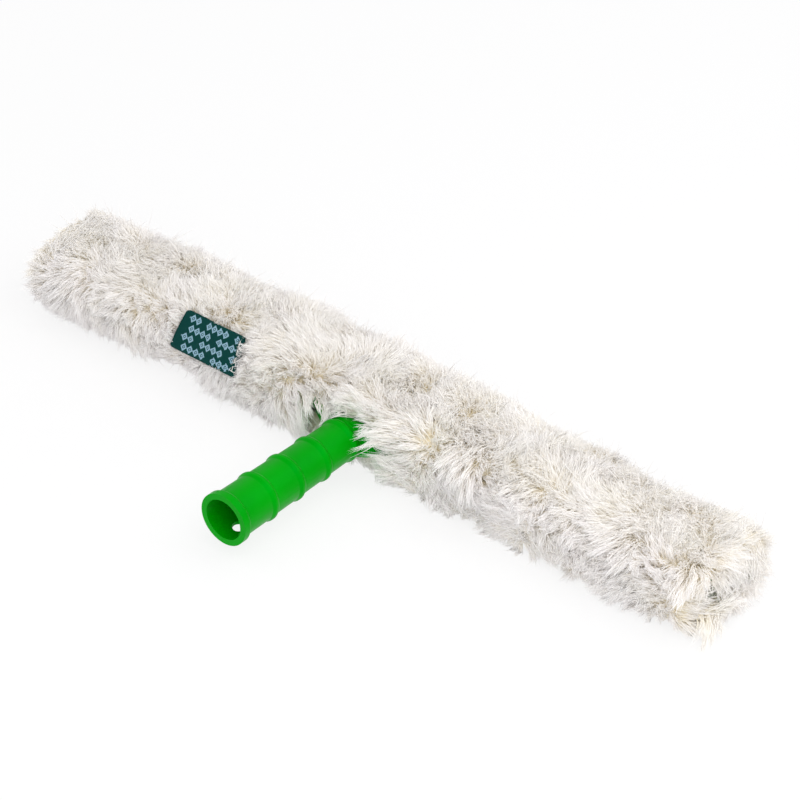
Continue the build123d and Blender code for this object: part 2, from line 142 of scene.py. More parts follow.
TABLE_HALF = 6.0
TABLE_CORNERS = ((-1, -1), (1, -1), (1, 1), (-1, 1))
table_mesh = bpy.data.meshes.new("table")
table_places = [(x * TABLE_HALF, y * TABLE_HALF, floor_z) for x, y in TABLE_CORNERS]
table_mesh.from_pydata(table_places, [], [(0, 1, 2, 3)])
table = add_to_scene("table", table_mesh)

# ---- The grip ----------------------------------------------------------------------------------------
# A tapering tube of bright green polypropylene, moulded in one with its thick rim and four bamboo rings.
# It is pushed on the head bar's spigot, and a screw deep in its bore holds it.


class Finish:
    """A number or colour that a material's nodes make. Sums read as plain arithmetic, and node() makes any
    other node."""

    def __init__(self, tree, socket=None):
        self.tree = tree
        self.socket = socket

    def feed(self, target, value):
        """Leads a value to a node's socket: linked if nodes make it, and set if it is plain."""
        if isinstance(value, Finish):
            self.tree.links.new(value.socket, target)
        else:
            target.default_value = value

    def node(self, kind, settings=None, sockets=None, out=0):
        """A node of a type, with its settings and then its sockets, as its output socket."""
        made = self.tree.nodes.new("ShaderNode" + kind)
        settings = dict(settings or {})
        stops = settings.pop("stops", ())
        for name, value in settings.items():
            setattr(made, name, value)
        for i, (place, colour) in enumerate(stops):
            if i > 1:
                made.color_ramp.elements.new(place)
            made.color_ramp.elements[i].position = place
            made.color_ramp.elements[i].color = (*colour, 1.0)
        for name, value in (sockets or {}).items():
            self.feed(made.inputs[name], value)
        return Finish(self.tree, made.outputs[out])

    def output(self, key):
        """Another output of the same node."""
        return Finish(self.tree, self.socket.node.outputs[key])

    def sum(self, operation, *values):
        """The Math node, with one of its operations."""
        return self.node("Math", {"operation": operation}, dict(enumerate(values)))

    def __add__(self, other):
        return self.sum("ADD", self, other)

    def __radd__(self, other):
        return self.sum("ADD", other, self)

    def __sub__(self, other):
        return self.sum("SUBTRACT", self, other)

    def __rsub__(self, other):
        return self.sum("SUBTRACT", other, self)

    def __mul__(self, other):
        return self.sum("MULTIPLY", self, other)

    def __rmul__(self, other):
        return self.sum("MULTIPLY", other, self)

    def __truediv__(self, other):
        return self.sum("DIVIDE", self, other)

    def range(self, low, high, to_low=0.0, to_high=1.0):
        """The number, spread from one range to another and held within it."""
        return self.node("MapRange", {"clamp": True}, {0: self, 1: low, 2: high, 3: to_low, 4: to_high})

    def mix(self, first, second):
        """From the first colour to the second, by this number."""
        return self.node("Mix", {"data_type": "RGBA"}, {0: self, 6: first, 7: second}, out=2)


def finish_of(name):
    """A new material: its nodes as a Finish, and its Principled shader."""
    material = bpy.data.materials.new(name)
    material.use_nodes = True
    shader = material.node_tree.nodes["Principled BSDF"]
    return material, Finish(material.node_tree), shader


def emboss(finish, shader, height, strength, distance):
    """Lets a shader's surface look raised by a height, which only bends its normals."""
    bump = finish.node("Bump", sockets={"Strength": strength, "Distance": distance, "Height": height})
    finish.feed(shader.inputs["Normal"], bump)


def blend_in(finish, shader, share, other):
    """Mixes a share of another shader into a material's own."""
    blend = finish.node("MixShader", sockets={0: share, 2: other})
    finish.tree.links.new(shader.outputs[0], blend.socket.node.inputs[1])
    finish.tree.links.new(blend.socket, finish.tree.nodes["Material Output"].inputs["Surface"])


def give(node, material):
    """Puts a material on a CAD node."""
    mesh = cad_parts[node].data
    mesh.materials.clear()
    mesh.materials.append(material)


def set_sockets(shader, **values):
    """Sets plain sockets of a shader, named with underscores for spaces."""
    for name, value in values.items():
        shader.inputs[name.replace("_", " ")].default_value = value


PLASTIC_GREEN = (0.0, 0.33, 0.001, 1.0)
PLASTIC_DEEP = (0.0, 0.285, 0.001, 1.0)
PLASTIC_SHINE = (0.02, 0.9, 0.4, 1.0)

moulded_plastic, plastic, plastic_shader = finish_of("moulded_green_plastic")
place = plastic.node("TexCoord", out=3)
cloudy = plastic.node("TexNoise", sockets={"Vector": place, "Scale": 38.0, "Detail": 3.0})
fine_skin = plastic.node("TexNoise", sockets={"Vector": place, "Scale": 2600.0, "Detail": 2.0})
scuffs = plastic.node("TexNoise", sockets={"Vector": place, "Scale": 420.0, "Detail": 4.0, "Distortion": 0.6})
plastic.feed(plastic_shader.inputs["Base Color"], cloudy.range(0.3, 0.7).mix(PLASTIC_DEEP, PLASTIC_GREEN))
plastic.feed(plastic_shader.inputs["Roughness"], 0.3 + 0.1 * cloudy + 0.08 * scuffs.range(0.45, 0.7))
emboss(plastic, plastic_shader, fine_skin + 2.0 * cloudy, strength=0.12, distance=0.0002)
set_sockets(plastic_shader, IOR=1.5, Specular_IOR_Level=0.14, Specular_Tint=PLASTIC_SHINE)

give("grip", moulded_plastic)
give("head_bar", moulded_plastic)

# ---- The screw and washer ----------------------------------------------------------------------------
# A zinc-plated pan-head screw and its washer, which hold the grip on the spigot from inside the bore.
ZINC_PALE = (0.68, 0.68, 0.67, 1.0)
ZINC_DARK = (0.5, 0.51, 0.52, 1.0)

plated_steel, steel, steel_shader = finish_of("zinc_plated_steel")
place = steel.node("TexCoord", out=3)
grain = steel.node("TexNoise", sockets={"Vector": place, "Scale": 900.0, "Detail": 3.0})
steel.feed(steel_shader.inputs["Base Color"], grain.range(0.3, 0.7).mix(ZINC_DARK, ZINC_PALE))
steel.feed(steel_shader.inputs["Roughness"], 0.24 + 0.22 * grain)
set_sockets(steel_shader, Metallic=1.0)
for node in ("grip_screw", "screw_washer"):
    give(node, plated_steel)

# ---- The sleeve's cloth ------------------------------------------------------------------------------
# The woven polyester backing that the pile is knitted into, with its end panel, the placket below the
# opening and the flap over it. All are cut from one cloth and sewn.
FULL_TURN = 6.283  # radians
WEAVE_SHARE = 0.6  # of the cloth's relief, and its fuzz is the rest
BACKING_THREADS = 1500.0  # per metre
BACKING_CREAM = (0.82, 0.79, 0.71, 1.0)
# BACKING_SHADE is painted shade, for the hollows of the weave.
BACKING_SHADE = (0.58, 0.54, 0.46, 1.0)


def woven_finish(name, colour, shade, threads_per_metre, roughness):
    """A plain weave by place: two crossed waves that lift by turns. Its colour darkens to the shade colour
    where the weave and fuzz dip: painted shade.
    """
    material, cloth, shader = finish_of(name)
    spot = cloth.node("TexCoord", out=3)
    apart = cloth.node("SeparateXYZ", sockets={0: spot})
    turns = FULL_TURN * threads_per_metre
    along = cloth.sum("SINE", apart.output("X") * turns)
    across = cloth.sum("SINE", (apart.output("Y") + apart.output("Z")) * turns)
    weave = along * across
    fuzz = cloth.node("TexNoise", sockets={"Vector": spot, "Scale": 700.0, "Detail": 4.0})
    worn = cloth.node("TexNoise", sockets={"Vector": spot, "Scale": 45.0, "Detail": 3.0})
    depth = (0.5 + 0.5 * weave) * WEAVE_SHARE + fuzz * (1 - WEAVE_SHARE)
    # Painted shade: the cloth darkens to its shade colour where its weave and fuzz dip, with random wear
    # mixed in.
    cloth.feed(shader.inputs["Base Color"], (depth * 0.7 + worn * 0.3).range(0.2, 0.75).mix(shade, colour))
    cloth.feed(shader.inputs["Roughness"], roughness + 0.1 * fuzz)
    emboss(cloth, shader, depth, strength=0.5, distance=0.0003)
    set_sockets(shader, Sheen_Weight=0.25, Sheen_Roughness=0.5)
    return material


backing_cloth = woven_finish("woven_backing", BACKING_CREAM, BACKING_SHADE, BACKING_THREADS, roughness=0.8)
for node in ("sleeve_backing", "end_panel", "placket", "flap"):
    give(node, backing_cloth)

# ---- The bindings, tapes and threads -----------------------------------------------------------------
# White nylon: a binding round the mouth and along the flap's edge, hook tape on the flap, loop tape on
# the placket, and the lockstitch that holds them.
TAPE_THREADS = 1100.0  # per metre
TAPE_WHITE = (0.86, 0.86, 0.84, 1.0)
# TAPE_SHADE and SEWING_SHADE are painted shade, for the hollows of their weaves.
TAPE_SHADE = (0.6, 0.6, 0.58, 1.0)
SEWING_FIBRES = 3500.0  # per metre, across the sewing thread
SEWING_WHITE = (0.88, 0.87, 0.82, 1.0)
SEWING_SHADE = (0.62, 0.6, 0.55, 1.0)

tape_weave = woven_finish("nylon_tape", TAPE_WHITE, TAPE_SHADE, TAPE_THREADS, roughness=0.6)
for node in ("mouth_binding", "flap_binding", "loop_tape", "hook_tape"):
    give(node, tape_weave)
stitch_weave = woven_finish("sewing_thread", SEWING_WHITE, SEWING_SHADE, SEWING_FIBRES, roughness=0.5)
for node in ("back_seam_thread", "fold_seam_thread", "placket_thread", "tape_thread", "label_thread"):
    give(node, stitch_weave)

# ---- The label ---------------------------------------------------------------------------------------
# A woven polyester label, folded in two at its left end and sewn to the backing at its right, where the
# pile lies over its cut edge. It is dark green, with rows of small pale lozenges.
LABEL_TILT = np.radians(64.0)
LABEL_HALF = 0.0118  # half its width, across the rows
LABEL_CORNER = 0.0022
LABEL_PLY = 0.00042
LABEL_SLANT = 0.0025  # of its folded end
LABEL_FOLD = 0.0005  # radius of the fold, to the middle of the ply
LABEL_BOW = 0.0011
BOW_ALONG = 1.5  # radians, from its middle to its ends
BOW_ACROSS = 1.2  # and to its edges
# The label's ripples: how high each is, and its radians for each metre along and across.
LABEL_RIPPLES = ((0.00028, 240.0, 90.0), (0.0002, -70.0, 330.0))
FRAY = 0.0007
LABEL_STEPS = 128
LABEL_ROWS = 30

label_low, label_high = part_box("label")
label_middle = (label_low + label_high) / 2
label_along = Vector((1.0, 0.0, 0.0))
label_out = Vector((0.0, -np.sin(LABEL_TILT), np.cos(LABEL_TILT)))
label_across = label_out.cross(label_along)
label_half_length = (label_high.x - label_low.x) / 2


def label_place(along, across, height):
    """A place on the label in the object's frame. The cloth is skewed, and bows a little over the pile."""
    skew = LABEL_SLANT * (0.5 - along / (2 * label_half_length)) * (1 - across / LABEL_HALF)
    bow = LABEL_BOW * np.cos(along / label_half_length * BOW_ALONG) * np.cos(across / LABEL_HALF * BOW_ACROSS)
    ripple = sum(high * np.sin(along * long + across * wide) for high, long, wide in LABEL_RIPPLES)
    flat = label_middle + label_along * (along - skew) + label_across * across
    return flat + label_out * (height + bow + ripple)


def label_strip(half_ply):
    """Rows of places along one side of the folded strip, with how far along the strip each lies."""
    straight = 2 * label_half_length - LABEL_FOLD
    turn = np.pi * LABEL_FOLD
    total = 2 * straight + turn
    chance = np.random.default_rng(4)
    frayed = chance.uniform(-FRAY, FRAY, (2, LABEL_ROWS + 1))
    rows = []
    for i in range(LABEL_STEPS + 1):
        run = total * i / LABEL_STEPS
        row = []
        for j in range(LABEL_ROWS + 1):
            across = -1.0 + 2.0 * j / LABEL_ROWS
            if run < straight:
                end = frayed[0, j] * (1 - run / straight)
                along = label_half_length + end - run
                height = LABEL_FOLD + half_ply
            elif run < straight + turn:
                angle = (run - straight) / LABEL_FOLD
                reach = LABEL_FOLD + half_ply
                along = -label_half_length + LABEL_FOLD - reach * np.sin(angle)
                height = reach * np.cos(angle)
            else:
                back = run - straight - turn
                along = -label_half_length + LABEL_FOLD + back + frayed[1, j] * back / straight
                height = -LABEL_FOLD - half_ply
            inset = max(0.0, LABEL_CORNER - (along + label_half_length)) / LABEL_CORNER
            half = LABEL_HALF - LABEL_CORNER * (1 - np.sqrt(max(0.0, 1 - inset * inset)))
            row.append((label_place(along, across * half, height), run / total, 0.5 + across / 2))
        rows.append(row)
    return rows


def label_mesh():
    """The folded strip as a closed solid: its outer side, its inner side and the edges between."""
    built = bmesh.new()
    uv = built.loops.layers.uv.new("OFBake")
    sides = []
    for half_ply in (LABEL_PLY / 2, -LABEL_PLY / 2):
        rows = label_strip(half_ply)
        sides.append([[(built.verts.new(place), u, v) for place, u, v in row] for row in rows])
    outer, inner = sides

    def patch(*corners):
        face = built.faces.new([corner[0] for corner in corners])
        face.smooth = True
        for loop, corner in zip(face.loops, corners):
            loop[uv].uv = corner[1:]

    for i in range(LABEL_STEPS):
        for j in range(LABEL_ROWS):
            patch(outer[i][j], outer[i + 1][j], outer[i + 1][j + 1], outer[i][j + 1])
            patch(inner[i][j], inner[i][j + 1], inner[i + 1][j + 1], inner[i + 1][j])
        patch(outer[i][0], inner[i][0], inner[i + 1][0], outer[i + 1][0])
        patch(outer[i][-1], outer[i + 1][-1], inner[i + 1][-1], inner[i][-1])
    for j in range(LABEL_ROWS):
        patch(outer[0][j], outer[0][j + 1], inner[0][j + 1], inner[0][j])
        patch(outer[-1][j], inner[-1][j], inner[-1][j + 1], outer[-1][j + 1])
    bmesh.ops.recalc_face_normals(built, faces=built.faces)
    mesh = bpy.data.meshes.new("folded_label")
    built.to_mesh(mesh)
    built.free()
    return mesh


folded_label = add_to_scene("folded_label", label_mesh())

LABEL_GREEN = (0.001, 0.058, 0.05, 1.0)
# LABEL_SHADE is painted shade, for the grooves between the weave's ribs and picks.
LABEL_SHADE = (0.0, 0.034, 0.03, 1.0)
LABEL_PALE = (0.35, 0.56, 0.70, 1.0)
STRIP_LENGTH = 4 * label_half_length
ROW_PITCH = 0.0057
ROW_START = 0.0004
LOZENGE_WIDTH = 0.0040
LOZENGE_HEIGHT = 0.0049
RING_INNER = (0.46, 0.52)  # the lozenge's edges, in half lozenges from its centre, each from bare to full
RING_OUTER = (1.0, 1.06)
CENTRE_OUTER = (0.22, 0.3)
GROUP = 5.0  # lozenges and gap, counted in lozenge widths
GROUP_SHOWN = (0.796, 0.804)  # share of a group that its lozenges take, from full to bare
PLAIN_FOLD = 0.0045  # no pattern this close to the fold
PLAIN_END = 0.003  # or to the cut ends
PATTERN_EDGE = 0.0002
RIB_PITCH = 0.00042
PICK_PITCH = 0.0003

label_weave, weft, label_shader = finish_of("woven_label")
strip = weft.node("UVMap", {"uv_map": "OFBake"})
parted = weft.node("SeparateXYZ", sockets={0: strip})
along_strip = parted.output("X") * STRIP_LENGTH
across_strip = parted.output("Y") * (2 * LABEL_HALF)
rows_up = (across_strip - ROW_START) / ROW_PITCH
row_turn = weft.sum("MODULO", weft.sum("FLOOR", rows_up), 2.0)
lozenges_along = along_strip / LOZENGE_WIDTH + row_turn * (GROUP / 2)
in_lozenge = weft.sum("FRACT", lozenges_along) - 0.5
in_row = (weft.sum("FRACT", rows_up) - 0.5) * (ROW_PITCH / LOZENGE_HEIGHT)
off_centre = (weft.sum("ABSOLUTE", in_lozenge) + weft.sum("ABSOLUTE", in_row)) * 2.0
outline = off_centre.range(*RING_INNER) * off_centre.range(*RING_OUTER, 1.0, 0.0)
centre = off_centre.range(*CENTRE_OUTER, 1.0, 0.0)
in_group = weft.sum("FRACT", lozenges_along / GROUP).range(*GROUP_SHOWN, 1.0, 0.0)
from_fold = weft.sum("ABSOLUTE", along_strip - STRIP_LENGTH / 2)
last_pattern = STRIP_LENGTH / 2 - PLAIN_END
patterned = from_fold.range(PLAIN_FOLD, PLAIN_FOLD + PATTERN_EDGE)
patterned *= from_fold.range(last_pattern - PATTERN_EDGE, last_pattern, 1.0, 0.0)
pattern = (outline + centre) * in_group * patterned
ribs = weft.sum("SINE", across_strip * (FULL_TURN / RIB_PITCH))
picks = weft.sum("SINE", along_strip * (FULL_TURN / PICK_PITCH))
relief = 0.5 + 0.3 * ribs + 0.2 * picks
# Painted shade: the ground darkens to LABEL_SHADE in the grooves of the ribs and picks, and the lozenges
# darken in the picks' grooves.
ground_and_groove_shade = relief.mix(LABEL_SHADE, LABEL_GREEN)
weft.feed(label_shader.inputs["Base Color"], (pattern * (0.75 + 0.25 * picks)).mix(ground_and_groove_shade, LABEL_PALE))
weft.feed(label_shader.inputs["Roughness"], 0.75 + 0.15 * relief)
emboss(weft, label_shader, relief + pattern, strength=0.6, distance=0.00015)
set_sockets(label_shader, Specular_IOR_Level=0.12)
folded_label.data.materials.append(label_weave)
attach(folded_label, "sleeve")
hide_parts("label")

# ---- The pile's ground -------------------------------------------------------------------------------
# The dense foot of the pile, where its yarns are too close to tell apart. It wraps the backing as a
# springy layer, is open behind the right half of the bar, and runs on down the flap.
GROUND_HALF_WIDTH = 0.0285
GROUND_HALF_HEIGHT = 0.0180
GROUND_SQUARENESS = 2.7
GROUND_DEPTH = 0.0065  # below the pile's surface
GROUND_STEPS = 72
FINE_STEPS = 2000  # where the section is measured
GROUND_SINK = (-0.0012, 0.0042)  # how far it rises and sinks with the pile's hills and hollows
GROUND_LUMP = 0.0007
LUMP_WAVE = 0.03
STATION_GAP = 0.005
END_GROUND = 0.003  # of ground past the cloth's ends
OPENING_HALF = 0.0098  # half height of the opening in the ground
CLOTH_PLAY = 0.0001  # between the cloth and the ground round it
CLOTH_ROUND = 0.0072  # from the cloth's edges to where it lies flat
CLOTH_EDGE = 0.002  # half height of the cloth at its edges
LIP_OVERLAP = 0.003
PLACKET_DROP = 0.0150  # of the ground below the placket
BACK_SLIT = 0.002  # turns, half the slit at the back that joins the outer and inner outlines
FOLD_TURN = 0.01  # turns, from the opening's lip to the fold
UNDER_TURN = 0.80  # where the ground of the right half ends, below the placket
FLAP_GROUND = 0.0025
FLAP_SHORT = (0.001, 0.002, 0.0006)  # how far its ground stops short at its hem, its top and its fold
CAST_FROM = 0.03  # how far out rays start
RIPPLE_WAVES = 14
RIPPLE_STRETCH = (0.6, 1.5)
RIPPLE_SPREAD = 2.6  # of the waves' sum
ALONG = np.array([1.0, 0.0, 0.0])
UP = np.array([0.0, 0.0, 1.0])

flap_low, flap_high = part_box("flap")
end_low, end_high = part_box("end_panel")
neck_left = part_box("back_pile")[1].x
neck_right = flap_low.x
bar_y = bar_middle.y
placket_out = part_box("placket")[1].y - bar_y
left_rim = end_low.x - END_GROUND
right_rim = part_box("sleeve_backing")[1].x + END_GROUND


def surface_of(*nodes):
    """The surface of some CAD nodes, for rays to meet."""
    places, faces = [], []
    for node in nodes:
        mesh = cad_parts[node].data
        first = len(places)
        places += [vertex.co.copy() for vertex in mesh.vertices]
        faces += [[first + i for i in face.vertices] for face in mesh.polygons]
    return BVHTree.FromPolygons(places, faces)


pile_surface = surface_of("upper_pile", "lower_pile", "front_pile", "back_pile", "end_pile", "flap_pile")


def pile_over(places, outward, usual):
    """How far out from each place the pile's surface lies, or the usual distance where it has none."""
    depths = np.full(len(places), usual)
    for i, (place, way) in enumerate(zip(places, outward)):
        met = pile_surface.ray_cast(Vector(place + way * CAST_FROM), Vector(-way), CAST_FROM)
        if met[0]:
            depths[i] = CAST_FROM - met[3]
    return depths


def unit(vectors):
    """The vectors at length 1."""
    return vectors / np.maximum(np.linalg.norm(vectors, axis=-1, keepdims=True), 1e-9)


def ripples(places, wavelength, seed):
    """A smooth random field over space, mostly from -1 to 1: a sum of plane waves."""
    chance = np.random.default_rng(seed)
    ways = unit(chance.normal(size=(RIPPLE_WAVES, 3))) * 2 * np.pi / wavelength
    ways = ways * chance.uniform(*RIPPLE_STRETCH, (RIPPLE_WAVES, 1))
    starts = chance.uniform(0, 2 * np.pi, RIPPLE_WAVES)
    return np.sin(places @ ways.T + starts).sum(1) / RIPPLE_SPREAD


def oval(turn):
    """Points (from the bar's centre line, up) round the ground's section, at turns from 0 to 1 that
    start at the back and go over the top."""
    angle = 2 * np.pi * turn
    power = 2 / GROUND_SQUARENESS
    out = -GROUND_HALF_WIDTH * np.sign(np.cos(angle)) * np.abs(np.cos(angle)) ** power
    up = GROUND_HALF_HEIGHT * np.sign(np.sin(angle)) * np.abs(np.sin(angle)) ** power
    return np.stack([out, up], axis=-1)


def oval_normals(out, up):
    """Normals, in space, of the ground's section."""
    steep = GROUND_SQUARENESS - 1
    y = np.sign(out) * np.abs(out / GROUND_HALF_WIDTH) ** steep / GROUND_HALF_WIDTH
    z = np.sign(up) * np.abs(up / GROUND_HALF_HEIGHT) ** steep / GROUND_HALF_HEIGHT
    return unit(np.column_stack([np.zeros(len(y)), y, z]))


def even_turns(count, first=0.0, last=1.0):
    """Turns that lie evenly spaced along the oval, between two turns."""
    fine = np.linspace(first, last, FINE_STEPS)
    run = np.concatenate([[0.0], np.cumsum(np.linalg.norm(np.diff(oval(fine), axis=0), axis=1))])
    return np.interp(np.linspace(0, run[-1], count), run, fine)


def settle(places, outward):
    """Sinks places of the ground where the pile over them is thin, and says how deep the pile then is."""
    depths = pile_over(places, outward, usual=GROUND_DEPTH)
    sink = np.clip(GROUND_DEPTH - depths, *GROUND_SINK)
    return places - outward * sink[:, None], depths + sink


def ground_piece(name, body, node, loop, x_from, x_to, lumpy):
    """A closed prism along the bar from a loop of its section. The points marked lumpy follow the pile's
    hills and partings."""
    count = max(2, int(round((x_to - x_from) / STATION_GAP)) + 1)
    stations = np.linspace(x_from, x_to, count)
    places = np.concatenate([
        np.column_stack([np.full(len(loop), x), bar_y + loop[:, 0], loop[:, 1]]) for x in stations
    ])
    marks = np.tile(lumpy, count) > 0
    outward = oval_normals(places[marks, 1] - bar_y, places[marks, 2])
    places[marks] = settle(places[marks], outward)[0]
    places[marks] += outward * (GROUND_LUMP * ripples(places[marks], LUMP_WAVE, seed=3))[:, None]
    n = len(loop)
    faces = [
        (i * n + j, i * n + (j + 1) % n, (i + 1) * n + (j + 1) % n, (i + 1) * n + j)
        for i in range(count - 1)
        for j in range(n)
    ]
    faces += [tuple(range(n))[::-1], tuple(range((count - 1) * n, count * n))]
    mesh = bpy.data.meshes.new(name)
    mesh.from_pydata(places.tolist(), [], faces)
    built = bmesh.new()
    built.from_mesh(mesh)
    bmesh.ops.recalc_face_normals(built, faces=built.faces)
    bmesh.ops.triangulate(built, faces=[face for face in built.faces if len(face.verts) > 4])
    for face in built.faces:
        face.smooth = True
    built.to_mesh(mesh)
    built.free()
    piece = add_to_scene(name, mesh)
    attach(piece, body)
    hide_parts(node)
    return piece


def section_loop(outer_from, outer_to, inner):
    """The oval between two turns, then the inner points back to its start, with the oval marked lumpy."""
    outer = oval(even_turns(GROUND_STEPS, outer_from, outer_to))
    loop = np.concatenate([outer, np.array(inner)])
    marks = np.concatenate([np.ones(len(outer)), np.zeros(len(inner))])
    return loop, marks


cloth_half_width = (end_high.y - end_low.y) / 2 + CLOTH_PLAY
cloth_half_height = (end_high.z - end_low.z) / 2 + CLOTH_PLAY
cloth_flat = cloth_half_width - CLOTH_ROUND
back_turns = np.linspace(0, 0.25, FINE_STEPS // 2)
lip_turn = float(np.interp(OPENING_HALF, oval(back_turns)[:, 1], back_turns))

far_half = [
    (cloth_flat, -cloth_half_height), (cloth_half_width, -CLOTH_EDGE),
    (cloth_half_width, CLOTH_EDGE), (cloth_flat, cloth_half_height),
]
tube_hole = [(-out, -up) for out, up in far_half[2:]] + far_half + [(-out, -up) for out, up in far_half[:2]]
open_hole = [(placket_out, -cloth_half_height), *far_half, (placket_out - LIP_OVERLAP, cloth_half_height)]
under_hole = [(placket_out, -PLACKET_DROP), *open_hole]

tube_loop, tube_lumps = section_loop(BACK_SLIT, 1 - BACK_SLIT, tube_hole)
neck_loop, neck_lumps = section_loop(lip_turn, 1 - lip_turn, open_hole)
right_loop, right_lumps = section_loop(lip_turn + FOLD_TURN, UNDER_TURN, under_hole)
cap_loop = oval(even_turns(GROUND_STEPS)[:-1])
flap_face = flap_low.y - bar_y - CLOTH_PLAY
flap_foot = flap_face - FLAP_GROUND  # where the flap's tufts stand
flap_loop = np.array([
    (flap_foot, flap_low.z + FLAP_SHORT[0]), (flap_foot, flap_high.z - FLAP_SHORT[1]),
    (flap_face, flap_high.z - FLAP_SHORT[2]), (flap_face, flap_low.z),
])

grounds = [
    ground_piece("left_ground", "sleeve", "back_pile", tube_loop, end_low.x, neck_left, tube_lumps),
    ground_piece("neck_ground", "sleeve", "upper_pile", neck_loop, neck_left, neck_right, neck_lumps),
    ground_piece("right_ground", "sleeve", "lower_pile", right_loop, neck_right, right_rim, right_lumps),
    ground_piece("end_ground", "sleeve", "end_pile", cap_loop, left_rim, end_low.x, np.ones(len(cap_loop))),
    ground_piece("flap_ground", "flap", "flap_pile", flap_loop, flap_low.x, flap_high.x, np.zeros(4)),
]
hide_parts("front_pile")

ROOT_CREAM = (0.99, 0.955, 0.84, 1.0)
# ROOT_SHADE is painted shade, for the dips in the ground's relief.
ROOT_SHADE = (0.98, 0.92, 0.75, 1.0)
pile_ground, foot, foot_shader = finish_of("pile_ground")
place = foot.node("TexCoord", out=3)
tufted = foot.node("TexVoronoi", {"feature": "F1"}, {"Vector": place, "Scale": 420.0, "Randomness": 1.0})
matted = foot.node("TexNoise", sockets={"Vector": place, "Scale": 900.0, "Detail": 5.0, "Distortion": 1.2})
# Painted shade: the ground darkens to ROOT_SHADE where its relief dips, at the tufts' edges and in the
# matting's hollows.
root_dip_shade = (matted - 0.4 * tufted).range(0.0, 0.7)
foot.feed(foot_shader.inputs["Base Color"], root_dip_shade.mix(ROOT_SHADE, ROOT_CREAM))
foot.feed(foot_shader.inputs["Roughness"], 0.75 + 0.15 * matted)
emboss(foot, foot_shader, matted - tufted, strength=0.8, distance=0.001)
for piece in grounds:
    piece.data.materials.append(pile_ground)

# ---- The pile ----------------------------------------------------------------------------------------
# Cut polyester yarns in tufts, most 5 to 17 mm long and half a millimetre thick, knitted into the
# backing. They swirl on top, hang at the near side, and spray out at both ends.
TUFT_GAP = 0.0027
YARNS_PER_TUFT = 17
SWIRL = 0.0062  # how far tips lie along the bar from their feet
SWIRL_WAVE = 0.046
CROSS_SWIRL = 0.0050  # and round it
CROSS_WAVE = 0.042
STRAY_TUFT = 0.0030  # of a tuft's tip to any side
HANG = 0.0040
UPHILL = 0.012  # tips close up over the pile's hills, and part in its hollows
HILL_STEP = 0.004  # to each side of a tuft, over which its hill is felt
STEEPEST_HILL = 0.4
TIP_OVER = 0.0016  # of tips past the pile's mean surface
RIM_STEPS = 800

# Parts of the sleeve, each as the two values that it fades in between. These go by the ground's normals:
FAR_SIDE = (0.15, 0.7)
NEAR_SIDE = (0.2, 0.8)
TOP_SIDE = (0.2, 0.7)
UNDERSIDE = (0.1, 0.7)
BELOW = (0.0, 0.6)
# and these by places in the object's frame, or by the distance from one:
RIM_ZONE = 0.03  # from both ends inwards
NECK_ZONE = (0.034, 0.046)
NECK_SIDES = 0.042  # the middle of the zones beside the neck
NECK_SIDE_ZONE = (0.003, 0.014)
YOKE_ARMS = (0.012, 0.02)
FOLD_START = (0.03, 0.045)
FOLD_HEIGHT = (0.004, 0.012)
TOP_LEFT = (0.19, 0.23)
TOP_RIGHT = (0.12, 0.16)
NEAR_RIGHT_LEAN = (0.195, 0.225)
NEAR_RIGHT_LONG = (0.185, 0.22)
UNDER_RIGHT = (0.205, 0.235)

draw = np.random.default_rng(11)


def rise(values, low, high):
    """From 0 at the low value to 1 at the high one, and smooth between."""
    t = np.clip((values - low) / (high - low), 0, 1)
    return t * t * (3 - 2 * t)


def close_to(values, middle, inner, outer):
    """From 1 at the inner distance from the middle to 0 at the outer one, on both sides of it."""
    return rise(-np.abs(values - middle), -outer, -inner)


def sides(normals):
    """How much each normal faces the far side, and how much the near one."""
    return rise(normals[:, 1], *FAR_SIDE), rise(-normals[:, 1], *NEAR_SIDE)


def grid_spread(long_from, long_to, wide):
    """Jittered grid of tufts over a strip: places along it, and across it from 0 to 1."""
    lengthwise = int((long_to - long_from) / TUFT_GAP)
    across = int(wide / TUFT_GAP)
    along = (np.arange(lengthwise)[:, None] + draw.uniform(0, 1, (lengthwise, across))) / lengthwise
    over = (np.arange(across)[None, :] + draw.uniform(0, 1, (lengthwise, across))) / across
    return long_from + along.ravel() * (long_to - long_from), over.ravel()


def tube_tufts():
    """Tufts round the sleeve: feet, outward normals, how far tips lie aside, and how far out."""
    rim = np.linalg.norm(np.diff(oval(np.linspace(0, 1, RIM_STEPS)), axis=0), axis=1).sum()
    x, over = grid_spread(left_rim, right_rim, rim)
    section = oval(np.interp(over, np.linspace(0, 1, RIM_STEPS + 1), even_turns(RIM_STEPS + 1)))
    feet = np.column_stack([x, bar_y + section[:, 0], section[:, 1]])
    standing = ~in_opening(feet)
    feet = feet[standing]
    normals = oval_normals(feet[:, 1] - bar_y, feet[:, 2])
    aside, extra = comb(feet, normals), extra_reach(feet, normals)
    feet, depths = settle(feet, normals)
    return feet, normals, aside, depths + TIP_OVER + extra


OPENING_OUT = -0.015  # the opening lies nearer than this, from the bar's middle


def in_opening(feet):
    """Feet that would stand in the opening for the yoke, or behind the flap."""
    x, out, up = feet[:, 0], feet[:, 1] - bar_y, feet[:, 2]
    at_neck = (x > neck_left) & (x < neck_right) & (out < OPENING_OUT) & (np.abs(up) < OPENING_HALF)
    behind_flap = (x >= neck_right) & (out < placket_out) & (up < OPENING_HALF)
    return at_neck | behind_flap


def swirl(feet, share):
    """How far tips lie along the bar and round it, as they swirl together and stray tuft by tuft."""
    along = SWIRL * share * ripples(feet, SWIRL_WAVE, seed=21) + draw.normal(0, STRAY_TUFT, len(feet))
    round_bar = CROSS_SWIRL * share * ripples(feet, CROSS_WAVE, seed=22)
    return along, round_bar + draw.normal(0, STRAY_TUFT, len(feet))


